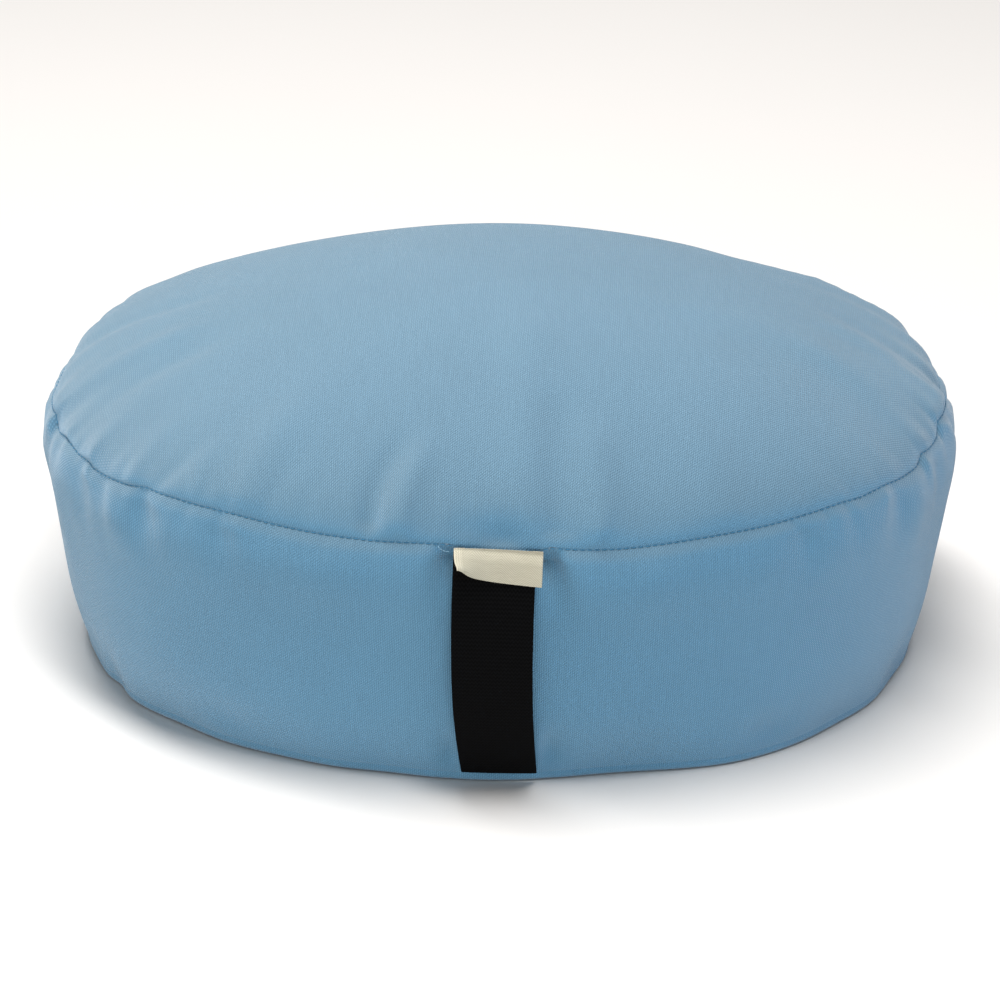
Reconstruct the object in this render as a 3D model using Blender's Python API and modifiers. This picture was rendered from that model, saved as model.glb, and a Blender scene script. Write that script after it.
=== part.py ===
"""Oval meditation cushion with a webbing handle strap and a plain tape label.

Metres, +Z up. The origin is on the floor, under the middle of the oval.
The long axis runs along X, and the strap hangs on the front, at -Y.

The cushion is a filled cover of three panels: a domed top, a side band that draws in
below its widest line, and a bottom panel that rests flat. It is modelled as a turned
drum of radius 1 and height 1, whose points are then moved onto the sewn shape.
"""
import math

import bmesh
import bpy

# ---------------------------------------------------------------- driving dimensions
LENGTH = 0.4540            # long axis of the top seam's oval
DEPTH = 0.3314             # short axis of the top seam's oval
SEAM_HEIGHT = 0.1346       # top seam above the floor
CROWN = 0.0619             # rise of the dome above the top seam
DOME_POWER = 1.90          # how peaked the middle of the dome is
EDGE_POWER = 1.59          # how steeply the dome leaves the seam
SQUARE_FRONT = 0.0118      # how far the front of the oval fills out towards a rectangle
SQUARE_BACK = 0.0199
SQUARE_BLEND = 0.35
FOOT_HEIGHT = 0.0048       # bottom seam above the floor
GROOVE_DEPTH = 0.0022      # how deep a sewn seam sits in the filled cover

STRAP_WIDTH = 0.0381       # 1.5 inch webbing
STRAP_FOOT_WIDTH = 0.0364  # bunched where it enters the bottom seam
STRAP_THICK = 0.0016
STRAP_X = 0.0075           # middle of the strap, sideways from the oval's front
STRAP_SLACK = 0.0098       # how far the handle bows off the wall at mid height
STRAP_WANDER = -0.0013     # sideways drift of its middle at mid height
STRAP_FOOT_DRIFT = 0.0015  # and at its foot
STRAP_TOP = 0.985          # share of the band's height where the strap enters the seam
STRAP_FOOT = 0.015

LABEL_WIDTH = 0.0410
LABEL_HEIGHT = 0.0159      # 5/8 inch tape
LABEL_LEAN = 0.88          # its height upright as a share of its length, as it leans out
LABEL_THICK = 0.0010
LABEL_X = 0.0090           # middle of the label, sideways from the oval's front
LABEL_TOP = 0.990
LABEL_CURL = (0.0017, -0.0042, 0.0038)   # how the lower left corner turns up and forward
LABEL_CURL_REACH = 0.012

GAP = 0.00035              # clear space between two pieces that touch

COLUMNS = 144              # faces around the oval
DOME_LIMIT = 0.99999       # keeps the dome's edge slope finite at the seam
SEAM_FADE = 0.02           # share of the top's radius over which its folds die at the seam
BAND_FADE = 0.08           # share of the band's height over which its folds die at a seam

# Slow waves of the sewn shape: the angle is counterclockwise from +X, seen from above.
# Their columns are angle_deg, half_width_deg, height_mm.
PLAN_WAVES = [              # outwards, of the whole outline
    (0, 22, -2.0),
    (30, 16, 3.5),
    (60, 18, -2.2),
    (120, 18, -2.7),
    (150, 16, 3.2),
    (180, 22, -0.9),
    (205, 14, -1.9),
    (335, 14, -1.3),
]
SEAM_WAVES = [              # upwards, of the top seam
    (196, 9, -2.7),
    (216, 11, -0.9),
    (237, 11, 3.5),
    (285, 10, -2.4),
    (316, 12, 1.0),
    (336, 10, -1.7),
    (350, 9, 3.5),
]
DOME_WAVES = [              # upwards, of the dome between middle and seam
    (30, 25, -4.5),
    (60, 25, 1.0),
    (90, 25, 4.2),
    (120, 25, 0.7),
    (150, 25, -3.5),
]

# The side band: share of the height from bottom seam to top seam, and how far the wall
# stands outside the top seam's outline.
WALL = [
    # share, out_mm
    (0.00, -9.7),
    (0.10, -6.3),
    (0.25, -2.7),
    (0.45, 0.1),
    (0.65, 2.8),
    (0.85, 5.6),
    (0.955, 3.5),
    (1.00, 0.0),
]

# The bottom panel's rounded rim, from the bottom seam down to the floor.
RIM = [
    # radius on the drum, share of the bottom seam's height, out_mm
    (1.000, 1.00, -9.7),
    (0.990, 0.55, -10.0),
    (0.970, 0.15, -11.7),
    (0.950, 0.00, -14.0),
]

# Main folds of the top panel, as soft ridges (+) or troughs (-) along a straight line.
# x and y of both ends in mm, half width and height in mm
TOP_FOLDS = [
    # x0, y0, x1, y1, half_width, height
    (-40, -166, -29, -138, 6.5, 2.0),
    (-53, -163, -42, -134, 6.5, -1.8),
    (17, -150, 18, -60, 16.0, 1.8),
    (36, -168, 34, -100, 9.0, -2.2),
    (57, -168, 53, -128, 9.0, 2.0),
    (-6, -168, 32, -168, 8.0, -2.6),
    (-222, -44, -160, -26, 9.0, 2.4),
    (-212, -72, -150, -46, 8.0, -1.8),
    (-216, 12, -160, 16, 9.0, -1.8),
    (226, -26, 176, 6, 7.0, 2.0),
    (222, 2, 176, 26, 7.0, -1.8),
    (214, -62, 160, -30, 10.0, 1.6),
    (118, -158, 104, -120, 12.0, 1.2),
    (-118, -158, -96, -116, 13.0, 1.6),
    (-62, 170, -58, 158, 9.0, -1.6),
    (20, 172, 18, 160, 9.0, 1.6),
    (100, 158, 95, 148, 9.0, -1.6),
    (-146, 142, -139, 132, 9.0, 1.6),
    (178, 116, 168, 108, 9.0, 1.6),
]

# Puckers of the side band under the top seam and over the bottom seam.
BAND_FOLDS = [
    # angle_deg, share, half_width_deg, half_share, out_mm
    (226.5, 0.90, 2.6, 0.13, -2.8),
    (220.5, 0.88, 2.4, 0.12, 1.6),
    (212.5, 0.86, 2.6, 0.12, -2.0),
    (203.0, 0.72, 3.6, 0.30, 1.8),
    (194.0, 0.70, 3.4, 0.26, -1.8),
    (238.5, 0.90, 3.0, 0.11, -1.8),
    (252.0, 0.86, 4.0, 0.12, 1.2),
    (290.0, 0.86, 3.4, 0.12, 1.4),
    (310.0, 0.90, 2.8, 0.12, -2.0),
    (327.0, 0.88, 2.8, 0.12, -2.0),
    (333.0, 0.84, 2.8, 0.16, 1.2),
    (341.0, 0.86, 2.6, 0.14, -1.8),
    (350.0, 0.70, 3.6, 0.30, 1.6),
    (4.0, 0.74, 3.2, 0.26, -1.8),
    (24.0, 0.84, 3.4, 0.16, -1.8),
    (46.0, 0.86, 3.6, 0.14, -1.6),
    (70.0, 0.88, 3.2, 0.12, -1.8),
    (96.0, 0.86, 3.6, 0.14, -1.6),
    (121.0, 0.88, 3.2, 0.13, -2.0),
    (146.0, 0.86, 3.2, 0.14, -1.8),
    (168.0, 0.82, 3.2, 0.18, -1.8),
    (266.0, 0.12, 1.8, 0.10, -1.4),
    (279.5, 0.13, 1.8, 0.10, -1.6),
    (236.0, 0.10, 4.0, 0.08, -1.4),
    (308.0, 0.10, 4.0, 0.08, -1.4),
    (205.0, 0.10, 4.0, 0.10, -1.4),
    (338.0, 0.08, 4.0, 0.10, -1.4),
    (84.0, 0.10, 4.0, 0.08, -1.4),
]

# Where the strap and the label are caught, the seam and the wall under it are pulled in.
TUCK_ANGLE = 272.8
TUCK_HALF_WIDTH = 6.5
TUCK_SHARE = 0.30
TUCK_DEPTH = 0.0030

SLOPE_STEP = 0.01          # step in radius that measures the dome's slope
STEEPEST = 2.0             # slope past which a fold no longer tilts outwards
FRONT_ANGLE = math.radians(270.0)
EDGE = 0.0005              # tolerance that tells the drum's faces apart


# ---------------------------------------------------------------- helpers
def bell(distance):
    """A smooth hump: 1 in the middle, 0.37 at distance 1, nearly 0 from 2 on."""
    return math.exp(-distance * distance)


def turn_between(angle, other_deg):
    """Signed difference of two angles in degrees, from -180 to 180."""
    difference = math.degrees(angle) - other_deg
    return (difference + 180.0) % 360.0 - 180.0


def waves(angle, table):
    """Sum of a table of slow waves at an angle, in metres."""
    total = 0.0
    for centre, half_width, height in table:
        total += height / 1000.0 * bell(turn_between(angle, centre) / half_width)
    return total


def smooth_lookup(table, place):
    """Value of a table (place, value) at a place, eased with a cubic between its rows."""
    rows = len(table)
    if place <= table[0][0]:
        return table[0][1]
    if place >= table[-1][0]:
        return table[-1][1]
    slopes = []
    for i in range(rows - 1):
        run = table[i + 1][0] - table[i][0]
        slopes.append((table[i + 1][1] - table[i][1]) / run)
    tangents = [slopes[0]]
    for before, after in zip(slopes, slopes[1:]):
        if before * after <= 0.0:
            tangents.append(0.0)
        else:
            tangents.append(2.0 * before * after / (before + after))
    tangents.append(slopes[-1])
    for i in range(rows - 1):
        start, end = table[i][0], table[i + 1][0]
        if start <= place <= end:
            run = end - start
            s = (place - start) / run
            return (table[i][1] * (1 + 2 * s) * (1 - s) ** 2
                    + table[i + 1][1] * s * s * (3 - 2 * s)
                    + run * tangents[i] * s * (1 - s) ** 2
                    - run * tangents[i + 1] * s * s * (1 - s))
    return table[-1][1]


# ---------------------------------------------------------------- the sewn shape
def outward(angle):
    """Unit vector in plan that points straight out of the oval."""
    x = math.cos(angle) / LENGTH
    y = math.sin(angle) / DEPTH
    size = math.hypot(x, y)
    return x / size, y / size


def seam_outline(angle):
    """The top seam in plan: an oval that is a little squared, with its slow waves."""
    front = 0.5 - 0.5 * math.tanh(math.sin(angle) / SQUARE_BLEND)
    square = SQUARE_BACK + (SQUARE_FRONT - SQUARE_BACK) * front
    fill_out = 1.0 + square * (1.0 - math.cos(4.0 * angle))
    nx, ny = outward(angle)
    wave = waves(angle, PLAN_WAVES)
    x = LENGTH / 2.0 * math.cos(angle) * fill_out + nx * wave
    y = DEPTH / 2.0 * math.sin(angle) * fill_out + ny * wave
    return x, y


def seam_height(angle):
    return SEAM_HEIGHT + waves(angle, SEAM_WAVES)


def tuck(angle, share):
    """Inward pull of the wall around the strap's upper end."""
    across = bell(turn_between(angle, TUCK_ANGLE) / TUCK_HALF_WIDTH)
    down = bell((1.0 - share) / TUCK_SHARE)
    return TUCK_DEPTH * across * down


def dome_height(angle, radius):
    """Height of the smooth dome over the floor, at a share of the seam's radius."""
    radius = min(radius, DOME_LIMIT)
    dome = CROWN * (1.0 - radius ** DOME_POWER) ** (1.0 / EDGE_POWER)
    middle_zone = 6.0 * radius ** 3 * (1.0 - radius)
    seam_wave = (seam_height(angle) - SEAM_HEIGHT) * radius ** 3
    return SEAM_HEIGHT + dome + seam_wave + waves(angle, DOME_WAVES) * middle_zone


def top_fold(x, y):
    """Height of the top panel's folds over the smooth dome at a place in plan."""
    total = 0.0
    for x0, y0, x1, y1, half_width, height in TOP_FOLDS:
        run_x = (x1 - x0) / 1000.0
        run_y = (y1 - y0) / 1000.0
        from_x = x - x0 / 1000.0
        from_y = y - y0 / 1000.0
        length = math.hypot(run_x, run_y)
        along = (from_x * run_x + from_y * run_y) / length
        across = (from_x * run_y - from_y * run_x) / length
        beyond = max(0.0, -along, along - length)
        spread = half_width / 1000.0
        total += height / 1000.0 * bell(across / spread) * bell(beyond / (1.5 * spread))
    return total


def top_point(angle, radius):
    """A point of the top panel; its folds rise along the dome's own slope."""
    x, y = seam_outline(angle)
    nx, ny = outward(angle)
    pulled = tuck(angle, 1.0)
    x = (x - nx * pulled) * radius
    y = (y - ny * pulled) * radius
    fall = dome_height(angle, max(radius - SLOPE_STEP, 0.0)) - dome_height(angle, radius)
    reach = math.hypot(*seam_outline(angle)) * SLOPE_STEP
    steep = min(fall / reach, STEEPEST)
    size = math.hypot(steep, 1.0)
    edge_fade = min(1.0, (1.0 - radius) / SEAM_FADE)
    fold = top_fold(x, y) * edge_fade
    out = fold * steep / size
    up = fold / size
    z = dome_height(angle, radius) + up
    return x + nx * out, y + ny * out, z


def wall_out(angle, share):
    """How far the side band stands outside the top seam's outline."""
    out = smooth_lookup(WALL, share) / 1000.0
    out -= tuck(angle, share)
    return out


def band_fold(angle, share):
    total = 0.0
    for centre, height_share, half_width, half_share, depth in BAND_FOLDS:
        sideways = turn_between(angle, centre) / half_width
        upright = (share - height_share) / half_share
        total += depth / 1000.0 * bell(sideways) * bell(upright)
    edge_fade = min(1.0, share / BAND_FADE, (1.0 - share) / BAND_FADE)
    return total * edge_fade


def band_point(angle, share, off_wall=0.0):
    """A point of the side band, or one that stands off it by off_wall."""
    x, y = seam_outline(angle)
    nx, ny = outward(angle)
    out = wall_out(angle, share) + band_fold(angle, share) + off_wall
    z = FOOT_HEIGHT + (seam_height(angle) - FOOT_HEIGHT) * share
    return x + nx * out, y + ny * out, z


def rim_point(angle, height_share, out):
    """A point of the bottom panel between its seam and the floor."""
    x, y = seam_outline(angle)
    nx, ny = outward(angle)
    return x + nx * out, y + ny * out, FOOT_HEIGHT * height_share


def bottom_point(angle, radius):
    """A point of the bottom panel: the rounded rim, then flat on the floor."""
    floor_radius, floor_share, floor_out = RIM[-1]
    if radius < floor_radius - EDGE:
        x, y, z = rim_point(angle, floor_share, floor_out / 1000.0)
        return x * radius / floor_radius, y * radius / floor_radius, 0.0
    for rim_radius, height_share, out in RIM:
        if abs(radius - rim_radius) < EDGE:
            return rim_point(angle, height_share, out / 1000.0)
    return rim_point(angle, floor_share, floor_out / 1000.0)


def drum_to_cushion(x, y, z):
    """Move a point of the unit drum onto the cushion."""
    radius = math.hypot(x, y)
    angle = math.atan2(y, x)
    nx, ny = outward(angle)
    on_rim = radius > 1.0 - EDGE
    if on_rim and z > 1.0 - EDGE:
        px, py, pz = band_point(angle, 1.0)
        return px - nx * GROOVE_DEPTH, py - ny * GROOVE_DEPTH, pz
    if z > 1.0 - EDGE:
        return top_point(angle, radius)
    if on_rim and z > EDGE:
        return band_point(angle, z)
    if on_rim:
        px, py, pz = band_point(angle, 0.0)
        return px - nx * GROOVE_DEPTH, py - ny * GROOVE_DEPTH, pz
    return bottom_point(angle, radius)


# ---------------------------------------------------------------- building
def clear_scene():
    for item in list(bpy.data.objects):
        bpy.data.objects.remove(item, do_unlink=True)


def make_material(name, colour, roughness):
    material = bpy.data.materials.new(name)
    material.use_nodes = True
    shader = material.node_tree.nodes["Principled BSDF"]
    shader.inputs["Base Color"].default_value = (*colour, 1.0)
    shader.inputs["Roughness"].default_value = roughness
    shader.inputs["Metallic"].default_value = 0.0
    return material


def drum_profile():
    """Half section of the unit drum, from the middle of the top round to the bottom's."""
    top_radii = [0.0, 0.13, 0.26, 0.38, 0.49, 0.59, 0.68, 0.76, 0.83, 0.885, 0.93, 0.962, 0.985]
    wall_shares = [0.978, 0.955, 0.92, 0.88, 0.83, 0.77, 0.70, 0.62, 0.53, 0.44, 0.35, 0.26,
                   0.18, 0.11, 0.06, 0.022]
    profile = [(radius, 1.0) for radius in top_radii]
    profile.append((1.0, 1.0))
    profile += [(1.0, share) for share in wall_shares]
    profile.append((1.0, 0.0))
    profile += [(row[0], 0.0) for row in RIM[1:]]
    profile += [(0.60, 0.0), (0.0, 0.0)]
    return profile


def build_cushion(collection, material):
    profile = drum_profile()
    mesh = bpy.data.meshes.new("cushion_profile")
    edges = [(i, i + 1) for i in range(len(profile) - 1)]
    mesh.from_pydata([(r, 0.0, z) for r, z in profile], edges, [])
    turned = bpy.data.objects.new("cushion_drum", mesh)
    collection.objects.link(turned)
    screw = turned.modifiers.new("turn", "SCREW")
    screw.axis = "Z"
    screw.angle = math.tau
    screw.steps = COLUMNS
    screw.render_steps = COLUMNS
    screw.use_merge_vertices = True
    screw.merge_threshold = 0.0001
    evaluated = turned.evaluated_get(bpy.context.evaluated_depsgraph_get())
    shaped = bpy.data.meshes.new_from_object(evaluated)
    bpy.data.objects.remove(turned, do_unlink=True)
    for vertex in shaped.vertices:
        vertex.co = drum_to_cushion(*vertex.co)
    face_outwards(shaped)
    return finish_mesh("cushion", shaped, material, collection)


def face_outwards(mesh):
    work = bmesh.new()
    work.from_mesh(mesh)
    bmesh.ops.recalc_face_normals(work, faces=work.faces)
    work.to_mesh(mesh)
    work.free()


def finish_mesh(name, mesh, material, collection):
    mesh.name = name
    mesh.materials.clear()
    mesh.materials.append(material)
    mesh.shade_smooth()
    mesh.set_sharp_from_angle(angle=math.radians(40.0))
    piece = bpy.data.objects.new(name, mesh)
    collection.objects.link(piece)
    return piece


def strap_bow(share):
    """How far the handle stands off the wall: nothing at both seams, most in the middle."""
    down = (STRAP_TOP - share) / (STRAP_TOP - STRAP_FOOT)
    return STRAP_SLACK * math.sin(math.pi * down) ** 1.3


def strap_point(across, share, off_wall=0.0):
    """A point of the strap's back face; across runs from -0.5 to 0.5 over its width."""
    down = (STRAP_TOP - share) / (STRAP_TOP - STRAP_FOOT)
    width = STRAP_WIDTH + (STRAP_FOOT_WIDTH - STRAP_WIDTH) * down ** 3
    middle = STRAP_X + STRAP_WANDER * math.sin(math.pi * down) + STRAP_FOOT_DRIFT * down ** 3
    middle_angle = FRONT_ANGLE + middle / (LENGTH / 2.0)
    off = GAP + strap_bow(share) + off_wall
    # Seen from above, the wall's lines fan out, so a place off it spans a smaller angle.
    fan = (wall_out(middle_angle, share) + off) * DEPTH / LENGTH
    angle = middle_angle + across * width / (LENGTH / 2.0 + fan)
    unfolded = band_fold(middle_angle, share) - band_fold(angle, share)
    return band_point(angle, share, off + unfolded)


def label_point(across, down):
    """A point of the label's back face; down runs from 0 at the seam to 1."""
    band_height = SEAM_HEIGHT - FOOT_HEIGHT
    share = LABEL_TOP - down * LABEL_HEIGHT * LABEL_LEAN / band_height
    strap_across = (LABEL_X + across * LABEL_WIDTH - STRAP_X) / STRAP_WIDTH
    x, y, z = strap_point(strap_across, min(share, STRAP_TOP), STRAP_THICK + GAP)
    z += max(0.0, share - STRAP_TOP) * band_height
    from_corner = math.hypot((across + 0.5) * LABEL_WIDTH, (1.0 - down) * LABEL_HEIGHT)
    curl = bell(from_corner / LABEL_CURL_REACH)
    curl_x, curl_y, curl_z = LABEL_CURL
    return x + curl_x * curl, y + curl_y * curl, z + curl_z * curl


def build_sheet(name, columns, rows, place, thickness, material, collection):
    """A cut piece of webbing or tape: a flat grid laid on its path, then given body."""
    bpy.ops.mesh.primitive_grid_add(x_subdivisions=columns, y_subdivisions=rows, size=1.0)
    piece = bpy.context.active_object
    piece.name = name
    piece.data.name = name
    for vertex in piece.data.vertices:
        vertex.co = place(vertex.co.x, vertex.co.y)
    for holder in list(piece.users_collection):
        holder.objects.unlink(piece)
    collection.objects.link(piece)
    piece.data.materials.append(material)
    piece.data.shade_smooth()
    body = piece.modifiers.new("body", "SOLIDIFY")
    body.thickness = thickness
    body.offset = 1.0
    body.use_even_offset = True
    return piece


def build_strap(collection, material):
    def place(across, up):
        share = STRAP_FOOT + (up + 0.5) * (STRAP_TOP - STRAP_FOOT)
        return strap_point(across, share)

    return build_sheet("handle_strap", 6, 30, place, STRAP_THICK, material, collection)


def build_label(collection, material):
    def place(across, up):
        return label_point(across, 0.5 - up)

    return build_sheet("label", 16, 8, place, LABEL_THICK, material, collection)


def main():
    clear_scene()
    collection = bpy.data.collections.new("meditation_cushion")
    bpy.context.scene.collection.children.link(collection)
    cloth = make_material("blue_twill", (0.163, 0.352, 0.492), 0.92)
    webbing = make_material("black_webbing", (0.006, 0.006, 0.007), 0.85)
    tape = make_material("natural_tape", (0.61, 0.56, 0.43), 0.88)
    build_cushion(collection, cloth)
    build_strap(collection, webbing)
    build_label(collection, tape)


main()
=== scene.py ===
"""Looks of the oval meditation cushion: a sewn cotton cover, a webbing handle, a tape label.

Metres, +Z up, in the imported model's own frame. Angles run counterclockwise from +X, seen
from above, so the front of the cushion, at -Y, is at 270 degrees.

The cover repeats the sewn shape of the part's source on a much finer mesh. To that it adds
the top seam's kinks, puckers and stitches, both seams' sunk lines, and an uneven foot.
"""

import math

import bpy
import numpy as np
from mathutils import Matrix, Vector


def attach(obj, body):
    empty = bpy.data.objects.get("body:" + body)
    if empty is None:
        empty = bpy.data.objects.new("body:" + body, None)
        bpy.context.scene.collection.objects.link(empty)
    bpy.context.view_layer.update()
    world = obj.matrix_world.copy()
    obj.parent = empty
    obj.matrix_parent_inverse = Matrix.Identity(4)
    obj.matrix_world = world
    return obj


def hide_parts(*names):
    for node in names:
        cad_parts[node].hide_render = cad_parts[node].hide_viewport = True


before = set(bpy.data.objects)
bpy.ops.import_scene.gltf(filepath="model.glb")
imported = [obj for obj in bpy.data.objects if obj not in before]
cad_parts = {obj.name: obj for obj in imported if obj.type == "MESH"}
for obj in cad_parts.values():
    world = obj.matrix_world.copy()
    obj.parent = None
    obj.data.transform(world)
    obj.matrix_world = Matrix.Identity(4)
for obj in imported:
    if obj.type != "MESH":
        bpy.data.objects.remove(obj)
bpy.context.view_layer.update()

MM = 0.001

# ---- the sewn shape
# These values are the ones of the part's source, so that the cover lies on its solid. Only
# the rim and the fourth fold of the top are refined here.
LENGTH = 0.4540  # long axis of the top seam's oval
DEPTH = 0.3314  # short axis of the top seam's oval
SEAM_HEIGHT = 0.1346  # top seam above the floor
CROWN = 0.0619  # rise of the dome above the top seam
DOME_POWER = 1.90  # how peaked the middle of the dome is
EDGE_POWER = 1.59  # how steeply the dome leaves the seam
SQUARE_FRONT = 0.0118  # how far the front of the oval fills out towards a rectangle
SQUARE_BACK = 0.0199  # the same at the back
SQUARE_BLEND = 0.35  # how softly the one passes into the other
FOOT_HEIGHT = 0.0048  # bottom seam above the floor
BAND_HEIGHT = SEAM_HEIGHT - FOOT_HEIGHT

PLAN_WAVES = [
    # angle_deg, half_width_deg, mm outwards
    (0, 22, -2), (30, 16, 3.5), (60, 18, -2.2), (120, 18, -2.7), (150, 16, 3.2), (180, 22, -0.9),
    (205, 14, -1.9), (335, 14, -1.3),
]
SEAM_WAVES = [
    # angle_deg, half_width_deg, mm upwards
    (196, 9, -2.7), (216, 11, -0.9), (237, 11, 3.5), (285, 10, -2.4), (316, 12, 1), (336, 10, -1.7),
    (350, 9, 3.5),
]
DOME_WAVES = [
    # angle_deg, half_width_deg, mm upwards between the middle and the seam
    (30, 25, -4.5), (60, 25, 1), (90, 25, 4.2), (120, 25, 0.7), (150, 25, -3.5),
]
WALL = [
    # share of the band's height, mm outside the top seam's outline
    (0, -9.7), (0.1, -6.3), (0.25, -2.7), (0.45, 0.1), (0.65, 2.8), (0.85, 5.6), (0.955, 3.5), (1, 0),
]
RIM = [
    # share of the bottom seam's height, mm outside the top seam's outline
    (1, -9.7), (0.8, -9.7), (0.55, -9.75), (0.32, -9.9), (0.15, -10.4), (0.05, -11.3), (0, -12.8),
]
TOP_FOLDS = [
    # x0, y0, x1, y1, half_width, height, all in mm
    (-40, -166, -29, -138, 6.5, 2), (-53, -163, -42, -134, 6.5, -1.8), (17, -150, 18, -60, 16, 1.8),
    (36, -168, 34, -110, 9, -1.2), (57, -168, 53, -128, 9, 2), (-6, -168, 32, -168, 8, -2.6),
    (-222, -44, -160, -26, 9, 2.4), (-212, -72, -150, -46, 8, -1.8), (-216, 12, -160, 16, 9, -1.8),
    (226, -26, 176, 6, 7, 2), (222, 2, 176, 26, 7, -1.8), (214, -62, 160, -30, 10, 1.6),
    (118, -158, 104, -120, 12, 1.2), (-118, -158, -96, -116, 13, 1.6), (-62, 170, -58, 158, 9, -1.6),
    (20, 172, 18, 160, 9, 1.6), (100, 158, 95, 148, 9, -1.6), (-146, 142, -139, 132, 9, 1.6),
    (178, 116, 168, 108, 9, 1.6),
]
BAND_FOLDS = [
    # angle_deg, share, half_width_deg, half_share, mm outwards
    (226.5, 0.9, 2.6, 0.13, -2.8), (220.5, 0.88, 2.4, 0.12, 1.6), (212.5, 0.86, 2.6, 0.12, -2),
    (203, 0.72, 3.6, 0.3, 1.8), (194, 0.7, 3.4, 0.26, -1.8), (238.5, 0.9, 3, 0.11, -1.8),
    (252, 0.86, 4, 0.12, 1.2), (290, 0.86, 3.4, 0.12, 1.4), (310, 0.9, 2.8, 0.12, -2),
    (327, 0.88, 2.8, 0.12, -2), (333, 0.84, 2.8, 0.16, 1.2), (341, 0.86, 2.6, 0.14, -1.8),
    (350, 0.7, 3.6, 0.3, 1.6), (4, 0.74, 3.2, 0.26, -1.8), (24, 0.84, 3.4, 0.16, -1.8),
    (46, 0.86, 3.6, 0.14, -1.6), (70, 0.88, 3.2, 0.12, -1.8), (96, 0.86, 3.6, 0.14, -1.6),
    (121, 0.88, 3.2, 0.13, -2), (146, 0.86, 3.2, 0.14, -1.8), (168, 0.82, 3.2, 0.18, -1.8),
    (266, 0.12, 1.8, 0.1, -1.4), (279.5, 0.13, 1.8, 0.1, -1.6), (236, 0.1, 4, 0.08, -1.4),
    (308, 0.1, 4, 0.08, -1.4), (205, 0.1, 4, 0.1, -1.4), (338, 0.08, 4, 0.1, -1.4),
    (84, 0.1, 4, 0.08, -1.4),
]
TUCK_ANGLE = 272.8  # where strap and label are caught, the wall is pulled in
TUCK_HALF_WIDTH = 6.5  # degrees
TUCK_SHARE = 0.30  # share of the band's height over which that dies out
TUCK_DEPTH = 0.0030
DOME_LIMIT = 0.99999  # keeps the dome's edge slope finite at the seam
SLOPE_STEP = 0.01  # step in radius that measures the dome's slope
STEEPEST = 2.0  # slope past which a fold no longer tilts outwards
SEAM_FADE = 0.02  # share of the top's radius over which its folds die at the seam
BAND_FADE = 0.08  # share of the band's height over which its folds die at a seam

# ---- strap and label
# The source has these values too, apart from the sewn end and its pinch, and the label's
# lean, rise, upper edge, curls and folds, which are finer here.
STRAP_WIDTH = 0.0381  # 1.5 inch webbing
STRAP_FOOT_WIDTH = 0.0364
STRAP_THICK = 0.0016
STRAP_X = 0.0075  # its middle, at the top
STRAP_SLACK = 0.0098  # how far it bows off the band
STRAP_BOW_POWER = 1.3  # how closely it follows the band at both ends
STRAP_WANDER = -0.0013  # how far its middle strays halfway down
STRAP_FOOT_DRIFT = 0.0015  # how far it strays at the foot
STRAP_TOP = 0.985  # shares of the band's height between which it bows
STRAP_FOOT = 0.0150
STRAP_SEWN = 0.985  # share of the wall at which strap and label go into the seam
PINCH = 0.78  # how much of their distance off the wall they lose there
PINCH_REACH = 0.0026

LABEL_WIDTH = 0.0410
LABEL_HEIGHT = 0.0159  # 5/8 inch tape
LABEL_LEAN = 0.855  # its height upright as a share of its length, as it leans out
LABEL_LEAN_GAIN = 0.13  # how much more of it stands upright at the right end than at the left
LABEL_RISE = 0.0010  # how much higher its right end is sewn
LABEL_X = 0.0090
LABEL_TOP = 0.9905  # its upper edge, as a share of the band's height
LABEL_CURLS = [
    # reach from the lower left corner, then how far x, y and z move there, all in mm
    (12, 1.7, -4.2, 3.8), (20, 0, -0.6, 2.2), (5, 0.9, -0.8, 3.4),
]
LABEL_TURN_IN = 0.0045  # length of tape folded behind at either end
LABEL_FOLD_RADIUS = 0.00034
LABEL_TAPE = 0.00030  # thickness of the tape itself
LABEL_BACK = 0.00016  # middle of the folded-in layer, off the strap
LABEL_STEPS = (6, 8, 60)  # of its turned-in end, its fold and its front
LABEL_ROWS = 26
GAP = 0.00035  # between a sheet and what it lies on
FRONT_ANGLE = math.radians(270.0)

# ---- kinks and puckers
# The rest of the shape is only in this file: it is finer than the solid.
SEAM_KINKS = [
    # angle_deg, mm upwards of the sewn line, straight between the rows
    (-3, 3.8), (3, -1), (10, 0.6), (13, -0.6), (17, 1.4), (18.2, -1), (24, 0.5), (29, 1.5),
    (30.2, -0.8), (36, 1.2), (37.5, -0.6), (52, 0.8), (60, -0.5), (74, 0.9), (83, -0.4), (99, 0.8),
    (112, -0.6), (126, 1), (140, -0.5), (154.4, 1.4), (155.8, -0.8), (163, 1.6), (164.4, -0.8),
    (171, 0.8), (178, 0.4), (184, -0.8), (190, 1.8), (195.6, 5.4), (196.7, -0.7), (200, 0), (203.5, 2),
    (209, 0), (213, 0.9), (214, -0.8), (217, -0.5), (222, 0.5), (226, 2), (231, 1), (235, 0), (258, 0),
    (263.5, 0.6), (266.4, 0), (267.6, -1.2), (277, -1.4), (278.4, 0.2), (290, 0), (305, 0), (309, 0.5),
    (316, 1), (320, 0), (325, 1), (329, 0), (336.2, -0.2), (337.2, 3), (344, 0), (345.5, 0),
    (346.4, 4.6), (357, 3.8),
]
KINK_REACH = 10.0  # mm of cloth either side of the seam that follow a kink
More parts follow.
